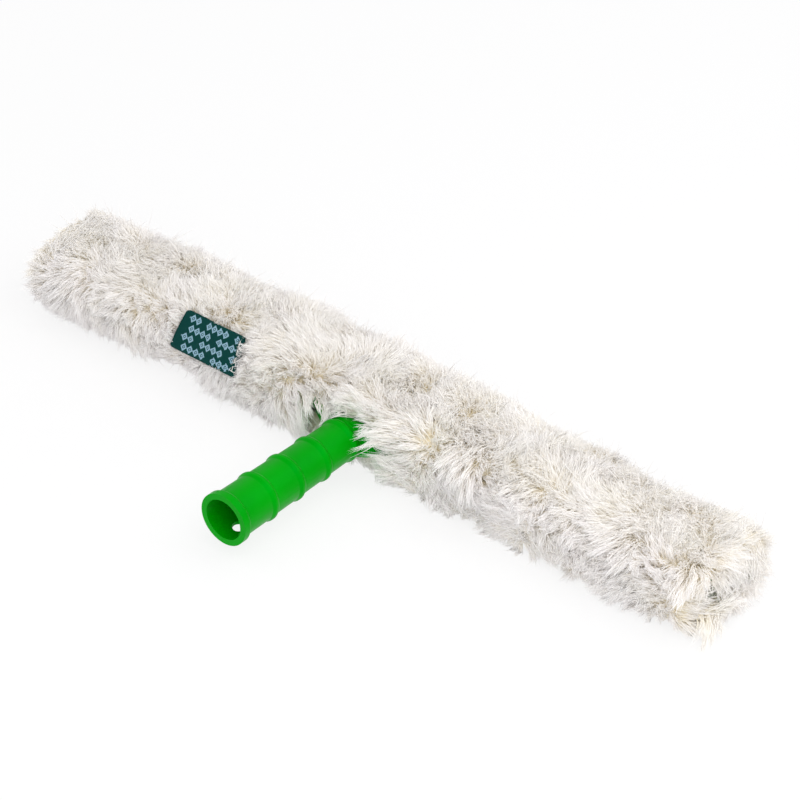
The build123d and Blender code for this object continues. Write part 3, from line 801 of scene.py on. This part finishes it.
FAR_STANDS = 0.72  # share of the swirl that the far side lacks
FAR_HANG = 0.4 * HANG
RIM_LEAN = 0.006  # out past the ends
NECK_LEAN = 0.010  # from both sides over the yoke
YOKE_FALL = 0.005  # from above over the yoke
ARM_FALL = 0.006  # and further over its arms
FOLD_FALL = 0.003
RIGHT_FALL = 0.005
UNDER_LEAN = 0.004


def comb(feet, normals):
    """Which way the sleeve's tips lie from their feet. They swirl on top, stand on the far side, hang on
    the near one, lean out at the ends, and fall over the yoke and the fold."""
    x, up = feet[:, 0], feet[:, 2]
    over = np.column_stack([np.zeros(len(x)), -normals[:, 2], normals[:, 1]])
    far, near = sides(normals)
    along, across = ((1 - FAR_STANDS * far) * part for part in swirl(feet, 1.0))
    across += HANG * near - FAR_HANG * far
    along += RIM_LEAN * rise(x, right_rim - RIM_ZONE, right_rim)
    up_or_far = np.maximum(far, rise(normals[:, 2], *TOP_SIDE))
    along += RIM_LEAN * (up_or_far - 1) * rise(-x, -left_rim - RIM_ZONE, -left_rim)
    along -= NECK_LEAN * np.sign(x) * near * close_to(np.abs(x), NECK_SIDES, *NECK_SIDE_ZONE)
    above_neck = near * close_to(x, 0.0, *NECK_ZONE) * (up > 0)
    over_arm = above_neck * rise(np.abs(x), *YOKE_ARMS)
    at_fold = near * rise(x, *FOLD_START) * rise(up, *FOLD_HEIGHT)
    across += YOKE_FALL * above_neck + ARM_FALL * over_arm + FOLD_FALL * at_fold
    across += RIGHT_FALL * near * rise(x, *NEAR_RIGHT_LEAN)
    aside = ALONG * along[:, None] + over * across[:, None]
    aside[:, 1] -= UNDER_LEAN * rise(x, *UNDER_RIGHT) * rise(-normals[:, 2], *UNDERSIDE)
    for way in (np.tile(ALONG, (len(x), 1)), over):
        ahead = pile_over(feet + way * HILL_STEP, normals, usual=GROUND_DEPTH)
        behind = pile_over(feet - way * HILL_STEP, normals, usual=GROUND_DEPTH)
        slope = np.clip((ahead - behind) / (2 * HILL_STEP), -STEEPEST_HILL, STEEPEST_HILL)
        aside += way * (UPHILL * slope)[:, None]
    return aside


YOKE_LONG = 0.003
RIGHT_LONG = 0.008
FAR_SHORT = 0.0018
TOP_LEFT_SHORT = 0.0075
TOP_RIGHT_SHORT = 0.003
LEFT_RIM_SHORT = 0.004


def extra_reach(feet, normals):
    """How much further out the sleeve's tips reach in some places than the pile elsewhere."""
    x, up = feet[:, 0], feet[:, 2]
    far, near = sides(normals)
    above_neck = near * close_to(x, 0.0, *NECK_ZONE) * (up > 0)
    at_left = rise(-x, -left_rim - RIM_ZONE, -left_rim)
    extra = YOKE_LONG * above_neck - FAR_SHORT * far + RIGHT_LONG * near * rise(x, *NEAR_RIGHT_LONG)
    extra -= TOP_LEFT_SHORT * far * rise(-x, *TOP_LEFT) + TOP_RIGHT_SHORT * far * rise(x, *TOP_RIGHT)
    return extra - LEFT_RIM_SHORT * rise(normals[:, 2], *TOP_SIDE) * (1 - far) * at_left


END_FAN = (0.0, 0.008, 0.007)  # how far tips fan out at the edge of an end, along each axis
END_SAG = 0.001
END_OUT = 0.001
CLOSED_FAR = (-0.1, 0.4)  # the far and upper parts of the closed end, in half widths and half heights
CLOSED_UP = (-0.3, 0.4)
CLOSED_ASIDE = (0.0, 0.007, 0.004)  # how far tips there lie to the near side and down
CLOSED_SHORT = 0.0045
CORNER_NEAR = (0.1, 0.5)  # the open end's near lower corner
CORNER_LOW = (0.0, 0.4)
CORNER_DROP = 0.003
CORNER_LONG = 0.003
CORNER_STRAY = 0.004
MOUTH_LEAN = 0.009  # of the open end's near half, to the near side
TURNED_IN = 0.72  # share of the open end's tufts that turn in over the mouth
CORNER_TURNED_OUT = 0.2  # less in its near lower corner
MOUTH_DROOP = (0.008, 0.021)
MOUTH_LIFT = 0.7  # of the droop, for tufts that rise from below
MOUTH_GATHER = 0.35  # share of their way from the middle that tips come back
MOUTH_STRAY = 0.004
END_STRAY = 0.0015
END_DEPTH = 0.005  # where the CAD pile has no surface over a foot


def end_tufts(x, way, hollow):
    """Tufts over an end of the sleeve. The hollow end has them round its rim, where most turn in over the
    mouth: down from above it, and up from below."""
    out, over = grid_spread(-GROUND_HALF_WIDTH, GROUND_HALF_WIDTH, 2 * GROUND_HALF_HEIGHT)
    up = (over * 2 - 1) * GROUND_HALF_HEIGHT
    across, height = out / GROUND_HALF_WIDTH, up / GROUND_HALF_HEIGHT
    inside = np.abs(across) ** GROUND_SQUARENESS + np.abs(height) ** GROUND_SQUARENESS < 1
    if hollow:
        inside &= (np.abs(out) > cloth_half_width) | (np.abs(up) > cloth_half_height)
        inside &= (np.abs(up) > OPENING_HALF) | (out > 0)
    out, up, across, height = out[inside], up[inside], across[inside], height[inside]
    feet = np.column_stack([np.full(len(out), x), bar_y + out, up])
    normals = np.tile(ALONG * way, (len(out), 1))
    closed_far = (not hollow) * np.maximum(rise(across, *CLOSED_FAR), rise(height, *CLOSED_UP))
    corner = hollow * rise(-across, *CORNER_NEAR) * rise(-height, *CORNER_LOW)
    aside = np.column_stack([np.zeros(len(out)), across, height]) * END_FAN
    aside -= closed_far[:, None] * CLOSED_ASIDE
    aside[:, 1] -= MOUTH_LEAN * hollow * (across < 0)
    aside[:, 2] -= END_SAG + CORNER_DROP * corner
    if hollow:
        inward = draw.uniform(0, 1, len(out)) < TURNED_IN - CORNER_TURNED_OUT * corner
        droop = draw.uniform(*MOUTH_DROOP, len(out))
        aside[inward, 2] = np.where(up > 0, -droop, MOUTH_LIFT * droop)[inward]
        aside[inward, 1] = -MOUTH_GATHER * out[inward] + draw.normal(0, MOUTH_STRAY, inward.sum())
    aside += draw.normal(0, END_STRAY, aside.shape) * (1 - ALONG)
    aside += draw.normal(0, CORNER_STRAY, aside.shape) * corner[:, None] * (1 - ALONG)
    depths = pile_over(feet, normals, usual=END_DEPTH) + END_OUT
    return feet, normals, aside, depths + TIP_OVER - CLOSED_SHORT * closed_far + CORNER_LONG * corner


FLAP_SWIRL = 0.8  # of the sleeve's
FLAP_HANG = 0.6 * HANG
FLAP_LEAN = 0.015  # over the yoke
FLAP_LEAN_ZONE = 0.015
FLAP_END_LEAN = 0.006
FLAP_END_ZONE = 0.02
FLAP_TOP_LIFT = 0.004
FLAP_CORNER = 0.007  # its right end, whose tufts turn to the right
FLAP_CORNER_WAY = np.array([1.0, -0.35, 0.0])
FLAP_CORNER_SPREAD = 0.018
FLAP_DEPTH = 0.0068  # where the CAD pile has no surface over a foot


def flap_tufts():
    """Tufts on the flap's outer side. Those at its top stand up to the pile above the fold."""
    x, over = grid_spread(flap_low.x, flap_high.x, flap_high.z - flap_low.z)
    z = flap_low.z + over * (flap_high.z - flap_low.z)
    feet = np.column_stack([x, np.full(len(x), bar_y + flap_foot), z])
    normals = np.tile([0.0, -1.0, 0.0], (len(x), 1))
    along, down = swirl(feet, FLAP_SWIRL)
    along -= FLAP_LEAN * rise(-x, -flap_low.x - FLAP_LEAN_ZONE, -flap_low.x)
    along += FLAP_END_LEAN * rise(x, flap_high.x - FLAP_END_ZONE, flap_high.x)
    down += FLAP_HANG - FLAP_TOP_LIFT * rise(z, 0.0, flap_high.z)
    aside = ALONG * along[:, None] - UP * down[:, None]
    at_end = x > flap_high.x - FLAP_CORNER
    normals[at_end] = unit(FLAP_CORNER_WAY)
    aside[at_end, 1] += draw.uniform(0.0, FLAP_CORNER_SPREAD, at_end.sum())
    depths = pile_over(feet, normals, usual=FLAP_DEPTH)
    return feet, normals, aside, depths + TIP_OVER


# Where the pile was held down: the place along the bar, the share of its length, the height it starts at.
PRESSED = ((0.096, 0.8, 0.003), (-0.14, 0.4, -0.002))
PRESSED_ZONE = (0.015, 0.055)
PRESSED_FADE = 0.008
PATCHY_REACH = 0.08  # share by which the pile is longer and shorter in patches
PATCH = 0.03
RAGGED_REACH = 0.05  # and tuft by tuft
RAGGED_BELOW = 1.6  # times as much again where the tufts hang
WARMTH = 0.72  # of the top's yarns, from cool 0 to warm 1
# The far, near and lower sides' yarns are cooled by these shares: painted shade.
FAR_SHADE_COOLING = 0.35
NEAR_SHADE_COOLING = 0.4
UNDER_SHADE_COOLING = 0.4
PATCHY_TONE = 0.13
TONE_PATCH = 0.028
STRAY_TONE = 0.14

TUFT_FOOT = 0.0026
TUFT_TIP = 0.0013
YARN_REACH = (0.76, 1.04)  # share of the tuft's
YARN_LEAN = (0.7, 1.1)
WILD_SHARE = 0.05
WILD_STRAY = 3  # times as much again, for the tips of wild yarns
MIDDLE_OUT = 0.58  # how far along its reach and its lean a yarn's middle point pulls it
MIDDLE_ASIDE = 0.22
MIDDLE_STRAY = 0.0007
GATHER = 0.2  # share of the way back to the tuft's middle that tips come
GATHER_BELOW = 0.6  # and more where the tufts hang
STEADY_BELOW = 0.4
YARN_POINTS = 5
TIPWARD = 0.9  # power that shifts a yarn's points towards its tip
CURL = 0.0007
CURL_TURNS = (0.8, 1.6)
CURL_SHARE = (0.3, 1.3)


def yarns_of(feet, normals, aside, reach):
    """Centre lines of every yarn, and each one's warmth from cool 0 to warm 1, with painted shade that cools
    the far, near and lower sides.
    """
    far, near = sides(normals)
    hanging = np.maximum(near, rise(-normals[:, 2], *BELOW))
    ragged = draw.normal(0, RAGGED_REACH, len(feet)) * (1 + RAGGED_BELOW * hanging)
    reach = reach * (1 + PATCHY_REACH * ripples(feet, PATCH, seed=31) + ragged)
    for middle, share, top in PRESSED:
        beside = close_to(feet[:, 0], middle, *PRESSED_ZONE)
        reach *= 1 - share * beside * rise(-feet[:, 2], -top, PRESSED_FADE - top)
    # Painted shade: the far, near and lower sides' yarns lean to the cool colour, and random patches and
    # yarns vary on top.
    tone_and_shade = WARMTH - FAR_SHADE_COOLING * far - NEAR_SHADE_COOLING * near - UNDER_SHADE_COOLING * np.clip(-normals[:, 2], 0, 1)
    tone_and_shade += PATCHY_TONE * ripples(feet, TONE_PATCH, seed=41)

    k = YARNS_PER_TUFT
    many = len(feet) * k
    feet, normals, aside = (np.repeat(part, k, axis=0) for part in (feet, normals, aside))
    reach = np.repeat(reach, k)[:, None] * draw.uniform(*YARN_REACH, (many, 1))
    spot = draw.normal(0, 1, (many, 3))
    spot = unit(spot - normals * (spot * normals).sum(1, keepdims=True))
    spot *= TUFT_FOOT * np.sqrt(draw.uniform(0, 1, (many, 1)))
    stray = 1 + WILD_STRAY * (draw.uniform(0, 1, (many, 1)) < WILD_SHARE)
    starts = feet + spot
    middles = starts + normals * reach * MIDDLE_OUT + aside * MIDDLE_ASIDE
    middles += draw.normal(0, MIDDLE_STRAY, (many, 3))
    hanging = np.repeat(hanging, k)[:, None]
    tips = starts + normals * reach + aside * draw.uniform(*YARN_LEAN, (many, 1))
    tips -= spot * (GATHER + GATHER_BELOW * hanging)
    tips += draw.normal(0, TUFT_TIP, (many, 3)) * stray * (1 - STEADY_BELOW * hanging)
    t = np.linspace(0, 1, YARN_POINTS)[None, :, None] ** TIPWARD
    lines = (1 - t) ** 2 * starts[:, None] + 2 * t * (1 - t) * middles[:, None] + t * t * tips[:, None]
    turns = 2 * np.pi * (draw.uniform(*CURL_TURNS, (many, 1, 3)) * t + draw.uniform(0, 1, (many, 1, 3)))
    curls = CURL * draw.uniform(*CURL_SHARE, (many, 1, 1)) * np.sin(turns) * np.minimum(1, 2 * t)
    tone_and_shade = np.repeat(tone_and_shade, k) + draw.normal(0, STRAY_TONE, many)
    return lines + curls, np.clip(tone_and_shade, 0, 1)


YARN_RADIUS = 0.00026
LEAST_LIFT = 1.1 * YARN_RADIUS  # of a yarn's middle off the table
SPLAY = 0.5  # how far yarns that meet the table slip outwards, for each metre that it lifts them
NECK_RADIUS = 0.0132  # of the grip's end, and what yarns keep from it
PAST_GRIP = 0.003
COLLAR = 0.0035
CLOTH_OUT = 0.0245  # from the bar's middle to where the yoke goes in
PAST_CLOTH = 0.004
ARM_DEPTH = 0.04  # from the spigot's tip to where the yoke's arms are widest
YOKE_HALF_WIDTHS = (0.0135, 0.0195, 0.034)  # at the grip, just past it, and at the arms
YOKE_HALF_HEIGHTS = (0.0122, 0.0116, 0.0081)  # at the grip, past the collar, and at the cloth

grip_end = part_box("grip")[1].y
cloth_edge = bar_y - CLOTH_OUT


def keep_clear(lines):
    """Bends yarns off the table and round the grip and its yoke."""
    x, y, z = lines[..., 0], lines[..., 1], lines[..., 2]
    about = np.maximum(np.hypot(x, z), 1e-6)
    at_grip = (y < grip_end + PAST_GRIP) & (about < NECK_RADIUS)
    push = np.where(at_grip, NECK_RADIUS / about, 1.0)
    x *= push
    z *= push
    half_width = np.interp(y, [grip_end, grip_end + PAST_GRIP, bar_low.y + ARM_DEPTH], YOKE_HALF_WIDTHS)
    half_height = np.interp(y, [grip_end, grip_end + COLLAR, cloth_edge], YOKE_HALF_HEIGHTS)
    on_yoke = (y >= grip_end) & (y < cloth_edge + PAST_CLOTH)
    on_yoke &= (np.abs(x) < half_width) & (np.abs(z) < half_height)
    z[on_yoke] = (np.where(z > 0, 1, -1) * half_height)[on_yoke]
    low = floor_z + LEAST_LIFT
    under = np.clip(low - z, 0, None)
    y += np.sign(y - bar_y) * under * SPLAY
    z[:] = np.maximum(z, low)
    return lines


MOST_PROUD_BEHIND = 0.0136  # past the CAD model
MOST_PROUD_ON_TOP = 0.0102


def trim(lines):
    """Cuts back the yarns that stand out past all the others, as shears level a pile."""
    starts = lines[:, :1]
    for axis, proud in ((1, MOST_PROUD_BEHIND), (2, MOST_PROUD_ON_TOP)):
        limit = cad_box[1][axis] + proud
        highest = lines[..., axis].max(1)
        foot = lines[:, 0, axis]
        share = np.clip((limit - foot) / np.maximum(highest - foot, 1e-6), 0, 1)
        lines = starts + (lines - starts) * share[:, None, None]
    return lines


LABEL_MARGIN = 0.0006
UNDER_LABEL = 0.0012
OVER_LABEL = 0.0022
PAST_LABEL = 0.0004  # yarns that start this far past its cut end lie over it
COVERED_LABEL = 0.0018


def round_label(lines):
    """Lays the yarns that would cross the label under it, or over it where they stand at its cut end."""
    apart = lines - np.array(label_middle)
    across = apart @ np.array(label_across)
    along = apart @ np.array(label_along)
    along += LABEL_SLANT * (0.5 - along / (2 * label_half_length)) * (1 - across / LABEL_HALF)
    height = apart @ np.array(label_out)
    within = (np.abs(across) < LABEL_HALF + LABEL_MARGIN) & (height > -UNDER_LABEL)
    within &= np.abs(along) < label_half_length + LABEL_MARGIN
    over_end = along[:, :1] > label_half_length + PAST_LABEL
    over_end = over_end & (along > label_half_length - COVERED_LABEL)
    lift = np.where(within & over_end, np.clip(OVER_LABEL - height, 0, None), 0)
    deeper = UNDER_LABEL * draw.uniform(0, 1, height.shape)
    press = np.where(within & ~over_end, -UNDER_LABEL - height - deeper, 0)
    return lines + (lift + press)[..., None] * np.array(label_out)


YARN_TAPER = ((0, 0.25, 0.6, 0.85, 1), (0.8, 1.0, 0.9, 0.6, 0.1))  # places up a yarn, and its width there
ODD_WAY = np.array([0.37, 0.61, 0.7])  # no yarn runs straight along it
TONE_SPAN = 0.97  # of the map's width, and the sides of a yarn take the rest
SIDE_SPAN = 0.04


def yarn_places(lines):
    """Three places round each point of every yarn, at its width there, and then the yarn's tip."""
    many, points = lines.shape[:2]
    taper = np.interp(np.linspace(0, 1, points), *YARN_TAPER)
    run = unit(np.gradient(lines, axis=1))
    side = unit(np.cross(run, ODD_WAY))
    other = np.cross(run, side)
    twist = draw.uniform(0, 2 * np.pi, (many, 1))
    rings = []
    for k in range(3):
        angle = twist + 2 * np.pi * k / 3
        off = side * np.cos(angle)[..., None] + other * np.sin(angle)[..., None]
        rings.append(lines + off * (YARN_RADIUS * taper)[None, :, None])
    rings = np.stack(rings, axis=2)[:, :-1]
    return np.concatenate([rings.reshape(many, -1, 3), lines[:, -1:]], axis=1).reshape(-1, 3)


def yarn_corners(many, points, per_yarn):
    """The corners of all the four-sided faces, then those of the three-sided ones at the tips and feet."""
    quads = []
    for i in range(points - 2):
        for k in range(3):
            n = (k + 1) % 3
            quads.append((3 * i + k, 3 * i + n, 3 * i + 3 + n, 3 * i + 3 + k))
    last = 3 * (points - 2)
    tris = [(last + k, last + (k + 1) % 3, per_yarn - 1) for k in range(3)] + [(2, 1, 0)]
    base = (np.arange(many) * per_yarn)[:, None]
    return (np.array(quads).ravel()[None] + base).ravel(), (np.array(tris).ravel()[None] + base).ravel()


def yarn_mesh(name, lines, shaded_tones):
    """Closed three-sided yarns that taper to a point. The map OFBake holds each yarn's warmth, with its
    painted shade, across and its length up.
    """
    many, points = lines.shape[:2]
    per_yarn = 3 * (points - 1) + 1
    places = yarn_places(lines)
    quads, tris = yarn_corners(many, points, per_yarn)
    corners = np.concatenate([quads, tris])
    starts = np.concatenate([np.arange(len(quads) // 4) * 4, len(quads) + np.arange(len(tris) // 3) * 3])

    mesh = bpy.data.meshes.new(name)
    mesh.vertices.add(len(places))
    mesh.vertices.foreach_set("co", places.astype(np.float32).ravel())
    mesh.loops.add(len(corners))
    mesh.loops.foreach_set("vertex_index", corners.astype(np.int32))
    mesh.polygons.add(len(starts))
    mesh.polygons.foreach_set("loop_start", starts.astype(np.int32))
    mesh.polygons.foreach_set("use_smooth", np.ones(len(starts), bool))
    mesh.update(calc_edges=True)
    # Edges that run along a yarn, meet at its tip or bound its foot are sharp.
    ends = np.empty(len(mesh.edges) * 2, np.int32)
    mesh.edges.foreach_get("vertices", ends)
    ends = ends.reshape(-1, 2) % per_yarn
    along_yarn = (np.abs(ends[:, 0] - ends[:, 1]) == 3) | (ends.max(1) == per_yarn - 1) | (ends.max(1) < 3)
    sharp = mesh.attributes.new("sharp_edge", "BOOLEAN", "EDGE")
    sharp.data.foreach_set("value", along_yarn)

    place_in_yarn = np.concatenate([np.repeat(np.arange(points - 1), 3), [points - 1]]) / (points - 1)
    side_in_yarn = np.concatenate([np.tile(np.arange(3), points - 1), [1]]) / 3
    across = (shaded_tones[:, None] * TONE_SPAN + side_in_yarn[None] * SIDE_SPAN).ravel()
    up = np.tile(place_in_yarn, many)
    uv = mesh.uv_layers.new(name="OFBake")
    uv.uv.foreach_set("vector", np.column_stack([across[corners], up[corners]]).astype(np.float32).ravel())
    return add_to_scene(name, mesh)


WARM_YARN = (
    (0.0, (0.992, 0.95, 0.81)),
    (0.35, (0.993, 0.973, 0.915)),
    (0.7, (0.994, 0.985, 0.96)),
    (1.0, (0.995, 0.99, 0.98)),
)
# The cool colour below holds the painted shade of the far, near and lower sides, and random yarns lean to it
# too.
COOL_SHADED_YARN = (
    (0.0, (0.99, 0.968, 0.92)),
    (0.35, (0.991, 0.978, 0.967)),
    (0.7, (0.992, 0.983, 0.984)),
    (1.0, (0.99, 0.983, 0.993)),
)
YARN_GLOW = (0.99, 0.98, 0.965, 1.0)
GLOW_SHARE = 0.3  # of light that goes on through a yarn

plush, yarn, plush_shader = finish_of("plush_yarn")
strand = yarn.node("UVMap", {"uv_map": "OFBake"})
tone_of = yarn.node("SeparateXYZ", sockets={0: strand})
height_up = tone_of.output("Y")
warm = yarn.node("ValToRGB", {"stops": WARM_YARN}, {0: height_up})
cool = yarn.node("ValToRGB", {"stops": COOL_SHADED_YARN}, {0: height_up})
# Painted shade: yarns cooled on the shaded sides take the cool colour.
yarn.feed(plush_shader.inputs["Base Color"], tone_of.mix(cool, warm))
yarn.feed(plush_shader.inputs["Roughness"], 0.7 - 0.12 * height_up)
set_sockets(plush_shader, Specular_IOR_Level=0.12)
blend_in(yarn, plush_shader, GLOW_SHARE, yarn.node("BsdfTranslucent", sockets={"Color": YARN_GLOW}))

MOST_YARNS_PER_PIECE = 8900  # which keeps a piece under 200,000 triangles


def dress(body, node, name, lines, shaded_tones):
    """Makes pieces of the yarns, few enough in each, from left to right along the bar."""
    order = np.argsort(lines[:, 0, 0], kind="stable")
    parts = max(1, int(np.ceil(len(order) / MOST_YARNS_PER_PIECE)))
    for i, some in enumerate(np.array_split(order, parts)):
        piece = yarn_mesh(f"{name}_{i + 1}", lines[some], shaded_tones[some])
        piece.data.materials.append(plush)
        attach(piece, body)
        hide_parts(node)


groups = [tube_tufts(), end_tufts(left_rim, -1, hollow=False), end_tufts(right_rim, 1, hollow=True)]
sleeve_lines, sleeve_shaded_tones = yarns_of(*(np.concatenate(parts) for parts in zip(*groups)))
sleeve_lines = round_label(keep_clear(trim(sleeve_lines)))
flap_lines, flap_shaded_tones = yarns_of(*flap_tufts())
flap_lines = keep_clear(flap_lines)

foot_out, foot_up = sleeve_lines[:, 0, 1] - bar_y, sleeve_lines[:, 0, 2]
is_end = sleeve_lines[:, 0, 0] < end_low.x
is_upper = ~is_end & (foot_up > OPENING_HALF)
is_lower = ~is_end & (foot_up < -OPENING_HALF)
is_front = ~is_end & ~is_upper & ~is_lower & (foot_out > 0)
is_back = ~(is_end | is_upper | is_lower | is_front)
for name, node, zone in (
    ("end_tufts", "end_pile", is_end),
    ("upper_tufts", "upper_pile", is_upper),
    ("lower_tufts", "lower_pile", is_lower),
    ("front_tufts", "front_pile", is_front),
    ("back_tufts", "back_pile", is_back),
):
    dress("sleeve", node, name, sleeve_lines[zone], sleeve_shaded_tones[zone])
dress("flap", "flap_pile", "flap_tufts", flap_lines, flap_shaded_tones)

# ---- The table ---------------------------------------------------------------------------------------
# A plain white surface that the camera sees as white, with the scrubber's soft shadow kept on it.
TABLE_WHITE = (0.9, 0.9, 0.9, 1.0)
BRIGHT_SHARE = 0.8  # of the white that the camera sees

table_top, top, top_shader = finish_of("white_table")
set_sockets(top_shader, Base_Color=TABLE_WHITE, Roughness=0.9)
rays = top.node("LightPath")
seen = sum(rays.output(f"Is {kind} Ray") for kind in ("Camera", "Glossy", "Transmission"))
bright = top.node("Emission", sockets={"Color": (1.0, 1.0, 1.0, 1.0), "Strength": 1.0})
blend_in(top, top_shader, BRIGHT_SHARE * seen, bright)
table.data.materials.append(table_top)
